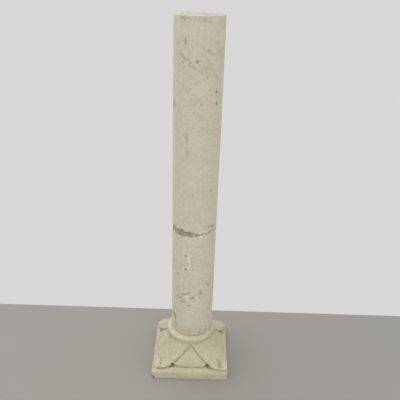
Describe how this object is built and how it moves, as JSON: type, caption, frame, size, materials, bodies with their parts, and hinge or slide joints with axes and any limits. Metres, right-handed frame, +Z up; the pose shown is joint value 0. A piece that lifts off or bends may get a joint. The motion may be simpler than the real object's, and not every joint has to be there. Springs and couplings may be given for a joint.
{
  "type": "plain round column",
  "caption": "Weathered cast-stone column: plain round shaft in two drums on a square base with corner leaves and a round ring.",
  "frame": {"origin": "middle of the plinth's underside", "axes": "+Z up along the shaft, -Y towards the front face, +X to the right of someone facing the front"},
  "size_m": [0.305, 0.305, 1.35],
  "materials": {
    "cast_stone": "matte"
  },
  "bodies": {
    "root": {"base": "cast_stone", "lower_drum": "cast_stone", "upper_drum": "cast_stone"}
  },
  "joints": []
}
